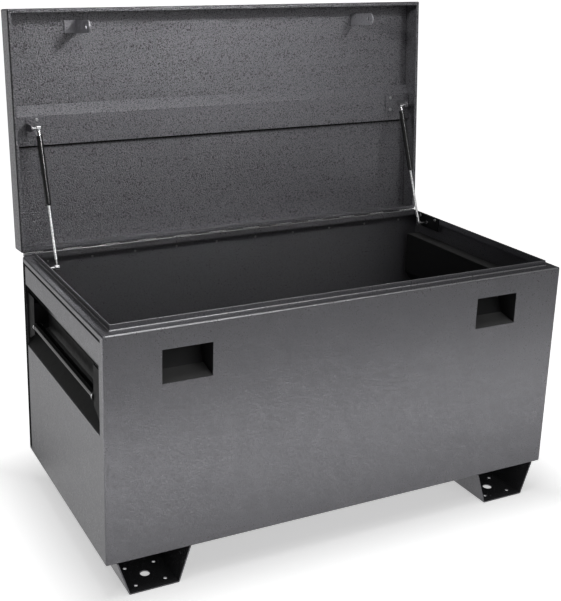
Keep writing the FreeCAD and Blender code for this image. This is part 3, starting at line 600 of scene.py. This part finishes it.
def fastener_tree(name, material, with_cross):
    tree = Tree(name)
    count = tree.size("Count", "NodeSocketInt")
    spacing = tree.size("Spacing")
    head_radius = tree.size("Head Radius")
    head_rise = tree.size("Head Rise")
    shank_radius = tree.size("Shank Radius")
    grip = tree.size("Grip")
    tail_radius = tree.size("Tail Radius")
    tail_rise = tree.size("Tail Rise")

    def dome(radius, rise, hollow):
        inputs = {"Segments": HEAD_SEGMENTS, "Rings": HEAD_RINGS, "Radius": radius}
        ball = tree.add("GeometryNodeMeshUVSphere", inputs).outputs[0]
        place = tree.add("GeometryNodeInputPosition").outputs[0]
        x, y, z = tree.add("ShaderNodeSeparateXYZ", {0: place}).outputs
        share = tree.combine("DIVIDE", tree.combine("MAXIMUM", z, 0.0), radius)
        lifted = tree.combine("MULTIPLY", share, rise)
        dip = tree.remap(share, CROWN_START, 1.0, 0.0, hollow)
        height = tree.combine("SUBTRACT", lifted, tree.combine("MULTIPLY", dip, rise))
        inputs = {"Geometry": ball, "Position": tree.vector(x, y, height)}
        return tree.add("GeometryNodeSetPosition", inputs).outputs[0]

    head = dome(head_radius, head_rise, 0.0 if with_cross else CROWN_DIP)
    if with_cross:
        long_side = tree.combine("MULTIPLY", head_radius, CROSS_LENGTH)
        short_side = tree.combine("MULTIPLY", head_radius, CROSS_WIDTH)
        for first, second in ((long_side, short_side), (short_side, long_side)):
            inputs = {"Size": tree.vector(first, second, head_rise)}
            arm = tree.add("GeometryNodeMeshCube", inputs).outputs[0]
            cutter = tree.move(arm, tree.vector(z=tree.combine("MULTIPLY", head_rise, CROSS_LIFT)))
            cut = tree.add("GeometryNodeMeshBoolean", {0: head, 1: cutter}, operation="DIFFERENCE")
            head = cut.outputs[0]
    inputs = {"Vertices": HEAD_SEGMENTS, "Radius": shank_radius, "Depth": grip}
    shank = tree.add("GeometryNodeMeshCylinder", inputs).outputs[0]
    shank = tree.move(shank, tree.vector(z=tree.combine("MULTIPLY", grip, -0.5)))
    inputs = {"Geometry": dome(tail_radius, tail_rise, 0.0), "Rotation": (math.pi, 0.0, 0.0)}
    flipped = tree.add("GeometryNodeTransform", inputs).outputs[0]
    tail = tree.move(flipped, tree.vector(z=tree.combine("MULTIPLY", grip, -1.0)))
    whole = tree.join(head, shank, tail)
    smooth = tree.add("GeometryNodeSetShadeSmooth", {"Geometry": whole}).outputs[0]
    line = tree.add("GeometryNodeMeshLine", {"Count": count, "Offset": tree.vector(x=spacing)})
    inputs = {"Points": line.outputs[0], "Instance": smooth}
    tree.close(tree.add("GeometryNodeInstanceOnPoints", inputs).outputs[0], material)
    return tree


rivet_tree = fastener_tree("blind_rivets", zinc, False)
screw_tree = fastener_tree("cross_screws", zinc, True)
print("each tree has", len(rivet_tree.sockets), "named sizes")

# %% [markdown]
# ## From a tree to a plain mesh
# A tree only shows its result while its modifier is live, and the export wants plain
# meshes. So for each piece a tree runs once on an empty carrier object, its result is
# taken off as a mesh, and the carrier goes away. A piece may need the same row in several
# places: each copy is moved in its mesh, so that the finished object itself stays at the
# origin.

# %% Grow a piece from a tree
def grow(tree, name, values, transforms):
    """Run a tree on an empty mesh, and keep a copy at each place as one plain mesh object."""
    carrier = bpy.data.objects.new(name + "_carrier", bpy.data.meshes.new(name + "_carrier"))
    scene.collection.objects.link(carrier)
    modifier = carrier.modifiers.new("grow", "NODES")
    modifier.node_group = tree.tree
    for key, value in values.items():
        modifier[tree.sockets[key]] = value
    bpy.context.view_layer.update()
    evaluated = carrier.evaluated_get(bpy.context.evaluated_depsgraph_get())
    mesh = bpy.data.meshes.new_from_object(evaluated)
    carrier.modifiers.remove(modifier)
    bpy.data.objects.remove(carrier)
    whole = bmesh.new()
    for transform in transforms:
        copy = mesh.copy()
        copy.transform(transform)
        whole.from_mesh(copy)
        bpy.data.meshes.remove(copy)
    whole.to_mesh(mesh)
    whole.free()
    piece = bpy.data.objects.new(name, mesh)
    scene.collection.objects.link(piece)
    print(name, "has", len(mesh.polygons), "faces")
    return piece


def row_matrix(start, along, facing):
    """Turn a row that runs along X with its heads up, and set its first head at a point."""
    turn = Matrix((along, facing.cross(along), facing)).transposed().to_4x4()
    return Matrix.Translation(start) @ turn


X_AXIS, Y_AXIS, Z_AXIS = (Vector(row) for row in Matrix.Identity(3))
print("ready to grow pieces from", rivet_tree.tree.name, "and", screw_tree.tree.name)

# %% [markdown]
# ## The hinge rivets
# Ten rivets hold each leaf of the piano hinge. The plain solids give their places: the
# box around the row tells how far apart the first and last heads are, and how thick the
# stack of sheets is. The tree builds the row along X with its heads up, and one matrix
# turns the heads to face backwards.

# %% Hinge rivets
RIVET_COUNT = 10
HEAD_RISE = 0.0022
TAIL_RISE = 0.0015
SHANK_SHARE = 0.48
TAIL_SHARE = 0.68


def rivet_values(count, spacing, head_radius, stack):
    return {
        "Count": count,
        "Spacing": spacing,
        "Head Radius": head_radius,
        "Head Rise": HEAD_RISE,
        "Shank Radius": head_radius * SHANK_SHARE,
        "Grip": stack - HEAD_RISE - TAIL_RISE,
        "Tail Radius": head_radius * TAIL_SHARE,
        "Tail Rise": TAIL_RISE,
    }


def hinge_row(name, low, high, transform):
    head_radius = (high.z - low.z) / 2
    spacing = (high.x - low.x - 2 * head_radius) / (RIVET_COUNT - 1)
    start = Vector((low.x + head_radius, high.y - HEAD_RISE, low.z + head_radius))
    values = rivet_values(RIVET_COUNT, spacing, head_radius, high.y - low.y)
    print(name, "spacing", round(spacing * 1000, 2), "mm")
    return grow(rivet_tree, name, values, [transform @ row_matrix(start, X_AXIS, Y_AXIS)])


def stand_for(piece, node, body):
    """Let a detailed piece ride on a body in the place of a plain node."""
    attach(piece, body)
    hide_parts(node)


box_row = hinge_row("box_hinge_rivet_heads", *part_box("hinge_box_rivets"), Matrix.Identity(4))
stand_for(box_row, "hinge_box_rivets", "box")
lid_row = hinge_row("lid_hinge_rivet_heads", *box_when_shut("hinge_lid_rivets"), swing_open)
stand_for(lid_row, "hinge_lid_rivets", "lid")

# %% [markdown]
# ## The strut bracket fasteners
# Two screws hold each lower strut bracket to the lip, and two rivets hold each upper one
# to the stiffener. They come from the same two trees, one row per side. The rows of a
# left and a right bracket are kept together as one piece, because the solids hold them
# so. The screws face each other across the box, and the rivets face down when the lid is
# shut.

# %% Bracket screws and rivets
PER_BRACKET = 2
SCREW_RISE = 0.003
SCREW_SHANK_SHARE = 0.55
SCREW_TAIL_SHARE = 0.45
BURIED = 0.0002


def bracket_screws():
    low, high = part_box("box_bracket_screws")
    head_radius = (high.z - low.z) / 2
    spacing = high.y - low.y - 2 * head_radius
    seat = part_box("left_box_strut_bracket")[1].x
    values = {
        "Count": PER_BRACKET,
        "Spacing": spacing,
        "Head Radius": head_radius,
        "Head Rise": SCREW_RISE,
        "Shank Radius": head_radius * SCREW_SHANK_SHARE,
        "Grip": seat - low.x - BURIED,
        "Tail Radius": head_radius * SCREW_TAIL_SHARE,
        "Tail Rise": BURIED,
    }
    level = low.z + head_radius
    left = row_matrix(Vector((seat, low.y + head_radius, level)), Y_AXIS, X_AXIS)
    right = row_matrix(Vector((-seat, high.y - head_radius, level)), -Y_AXIS, -X_AXIS)
    return grow(screw_tree, "strut_bracket_screws", values, [left, right])


def bracket_rivets():
    low, high = box_when_shut("lid_bracket_rivets")
    row_low, row_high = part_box("hinge_box_rivets")
    head_radius = (row_high.z - row_low.z) / 2
    spacing = high.y - low.y - 2 * head_radius
    seat = low.z + HEAD_RISE
    values = rivet_values(PER_BRACKET, spacing, head_radius, high.z - low.z)
    left = row_matrix(Vector((low.x + head_radius, low.y + head_radius, seat)), Y_AXIS, -Z_AXIS)
    right = row_matrix(Vector((high.x - head_radius, low.y + head_radius, seat)), Y_AXIS, -Z_AXIS)
    return grow(rivet_tree, "strut_bracket_rivets", values, [swing_open @ left, swing_open @ right])


stand_for(bracket_screws(), "box_bracket_screws", "box")
stand_for(bracket_rivets(), "lid_bracket_rivets", "lid")
print("strut bracket fasteners in place")

# %% [markdown]
# ## Floor and surround
# The box stands on a white floor that fades into a white background. Lighting the floor
# until it looks white would also flood the box, so the floor glows a little, but only for
# two kinds of ray: those that come straight from the camera, and those that bounce off
# something shiny. The first makes the background white, and is dimmed near the box as
# painted shade, which deepens the soft shadow there. The second is what the coat mirrors:
# a painted pool of light in front of the box that fades towards the viewer, a painted glow
# far to the left, and a painted shadow of the box behind it. The surround is white for the
# camera alone, and dim for everything else.

# %% Floor
FLOOR_REACH = 30.0
FLOOR_LIFT = 0.42
PAINTED_SHADE_GLOW = 0.50
FLOOR_DARK = 0.05
LEFT_GLOW = 0.5
SHADOW_FADE = (-0.05, 0.22)
BOX_SHADOW_FADE_X = (-0.75, -0.60)
BOX_SHADOW_FADE_Y = (0.30, 0.40)
NEAR_FADE = (-2.4, -0.9)
LEFT_FADE = (-3.0, -1.6)
WHITE = (1.0, 1.0, 1.0, 1.0)
floor_mesh = bpy.data.meshes.new("studio_floor")
floor_corners = [(-1, -1), (1, -1), (1, 1), (-1, 1)]
floor_places = [(x * FLOOR_REACH, y * FLOOR_REACH, 0.0) for x, y in floor_corners]
floor_mesh.from_pydata(floor_places, [], [(0, 1, 2, 3)])
studio_floor = bpy.data.objects.new("studio_floor", floor_mesh)
scene.collection.objects.link(studio_floor)


def pale_floor():
    graph = Graph("pale_floor")
    ray = graph.add("ShaderNodeLightPath")
    x, y = graph.add("ShaderNodeSeparateXYZ", {0: graph.place}).outputs[:2]
    beyond_end = graph.combine("SUBTRACT", graph.combine("ABSOLUTE", x, 0.0), half_width)
    beyond_front = graph.combine("SUBTRACT", graph.combine("ABSOLUTE", y, 0.0), half_depth)
    away = graph.combine("MAXIMUM", beyond_end, beyond_front)
    # Painted shade: the camera's glow is dimmed near the box, which deepens its soft shadow.
    seen = graph.remap(away, *SHADOW_FADE, PAINTED_SHADE_GLOW, 1.0)
    # Painted shadow: the mirrored glow is dark behind the box, where the box shades the floor.
    behind = graph.combine("MULTIPLY", graph.rise(x, *BOX_SHADOW_FADE_X), graph.rise(y, *BOX_SHADOW_FADE_Y))
    painted_box_shadow = graph.remap(behind, 0.0, 1.0, 1.0, FLOOR_DARK)
    # A painted pool of light in front of the box, and a painted glow far to the left.
    painted_light_pool = graph.remap(y, *NEAR_FADE, FLOOR_DARK, FLOOR_LIFT)
    painted_left_glow = graph.fall(x, *LEFT_FADE, LEFT_GLOW)
    mirrored_painted_light = graph.combine("MULTIPLY", painted_box_shadow, graph.combine("ADD", painted_light_pool, painted_left_glow))
    direct = graph.combine("MULTIPLY", ray.outputs["Is Camera Ray"], seen)
    glossy = graph.combine("MULTIPLY", ray.outputs["Is Glossy Ray"], mirrored_painted_light)
    return graph.feed(
        Base_Color=(0.80, 0.80, 0.80, 1.0),
        Roughness=0.9,
        Specular_IOR_Level=0.0,
        Emission_Color=WHITE,
        Emission_Strength=graph.combine("ADD", direct, glossy),
    )


floor_mesh.materials.append(pale_floor())
print("floor reaches", FLOOR_REACH, "m")

# %% Surround
SURROUND_FRONT = 0.12
SURROUND_BACK = 0.04
SURROUND_FADE = (0.1, 0.6)
world = bpy.data.worlds.new("white_surround")
scene.world = world
world.use_nodes = True
surround = Wiring(world.node_tree)
sky = world.node_tree.nodes["Background"]
direction = surround.add("ShaderNodeTexCoord").outputs["Generated"]
backward = surround.add("ShaderNodeSeparateXYZ", {0: direction}).outputs[1]
level = surround.remap(backward, *SURROUND_FADE, SURROUND_FRONT, SURROUND_BACK)
camera_ray = surround.add("ShaderNodeLightPath").outputs["Is Camera Ray"]
surround.fill(sky.inputs["Color"], WHITE)
surround.fill(sky.inputs["Strength"], surround.combine("MAXIMUM", camera_ray, level))
print("surround is", SURROUND_FRONT, "in front and", SURROUND_BACK, "behind")

# %% [markdown]
# ## Light
# The front and the left end should be lit from the white floor, so two lamps with limited
# beams look straight down at the floor in front and at the left, and the floor throws
# their light back. A lamp that shone on the front itself would also light the raised lip,
# which should stay dark. The lid is lit by a wide softbox in front, which it mirrors in
# its upper half, and by a small key lamp high at the right, which is aimed at the lid and
# gives the catches their shadows. A top lamp lights the faces that point up, a narrow one
# from the right picks out the ledge along the left end, another reaches over the front
# into the box, and a weak fill from the left keeps the far faces of the catches from going
# black. The lamps with limited beams, but for the key, are kept out of mirror reflections.

# %% Lamps
def soft_lamp(name, place, target, size, power, beam=180.0):
    data = bpy.data.lights.new(name, "AREA")
    data.shape = "RECTANGLE"
    data.size, data.size_y = size
    data.energy = power
    data.spread = math.radians(beam)
    lamp = bpy.data.objects.new(name, data)
    lamp.location = place
    lamp.rotation_euler = (Vector(target) - Vector(place)).to_track_quat("-Z", "Y").to_euler()
    lamp.visible_camera = False
    scene.collection.objects.link(lamp)
    return lamp


KEY_POWER = 1.7
SOFTBOX_POWER = 19.0
TOP_POWER = 22.0
LEFT_POWER = 12.0
NEAR_POWER = 4.8
EDGE_POWER = 1.4
FILL_POWER = 1.0
INSIDE_POWER = 0.36
soft_lamp("key_lamp", (1.06, -2.27, 2.75), (-0.1, 0.37, 1.16), (0.6, 0.6), KEY_POWER, beam=34.0)
soft_lamp("front_softbox", (0.8, -4.2, 2.3), (0.2, 0.3, 1.0), (2.4, 2.0), SOFTBOX_POWER)
soft_lamp("top_lamp", (-0.2, -0.3, 3.4), (-0.2, -0.3, 0.0), (1.6, 1.6), TOP_POWER)
unmirrored_lamps = (
    soft_lamp("left_floor_lamp", (-2.1, 0.1, 2.3), (-2.1, 0.1, 0.0), (1.0, 1.6), LEFT_POWER, beam=60.0),
    soft_lamp("near_floor_lamp", (0.3, -0.9, 1.0), (0.3, -0.9, 0.0), (3.0, 0.5), NEAR_POWER, beam=42.0),
    soft_lamp("left_edge_lamp", (1.5, -0.2, 2.9), (-0.60, 0.0, 0.63), (0.2, 0.2), EDGE_POWER, beam=13.0),
    soft_lamp("left_fill_lamp", (-1.6, -0.6, 1.9), (0.45, 0.36, 1.15), (0.3, 0.3), FILL_POWER, beam=30.0),
    soft_lamp("inside_lamp", (-0.3, -2.0, 2.6), (-0.05, 0.29, 0.58), (1.0, 0.1), INSIDE_POWER, beam=9.0),
)
for lamp in unmirrored_lamps:
    lamp.visible_glossy = False

# %% [markdown]
# ## Camera
# The view was worked out from the corners of the box: seen from the left and above,
# with a slight roll. The middle of the lens isn't the middle of the frame, as in a picture
# that is cropped from a larger one, and the camera's shift makes up for that.

# %% Camera
SENSOR = 36.0
LENS = 62.87
SHIFT_RIGHT = 0.1213
SHIFT_UP = -0.0957
VIEW_PLACE = (-1.26625, -2.2192, 1.41678)
camera_data = bpy.data.cameras.new("view_camera")
camera_data.sensor_fit = "VERTICAL"
camera_data.sensor_height = SENSOR
camera_data.lens = LENS
camera_data.shift_x = SHIFT_RIGHT
camera_data.shift_y = SHIFT_UP
view_turn = math.radians(-25.03)
view_rise = math.radians(16.27)
view_roll = math.radians(0.65)
away = Vector(
    (
        math.sin(view_turn) * math.cos(view_rise),
        -math.cos(view_turn) * math.cos(view_rise),
        math.sin(view_rise),
    )
)
level_right = (-away).cross(Z_AXIS).normalized()
level_up = level_right.cross(-away)
rolled_right = level_right * math.cos(view_roll) + level_up * math.sin(view_roll)
rolled_up = level_up * math.cos(view_roll) - level_right * math.sin(view_roll)
turned = Matrix((rolled_right, rolled_up, away)).transposed().to_4x4()
view_camera = bpy.data.objects.new("view_camera", camera_data)
view_camera.matrix_world = Matrix.Translation(VIEW_PLACE) @ turned
scene.collection.objects.link(view_camera)
scene.camera = view_camera
print("lens", LENS, "mm")
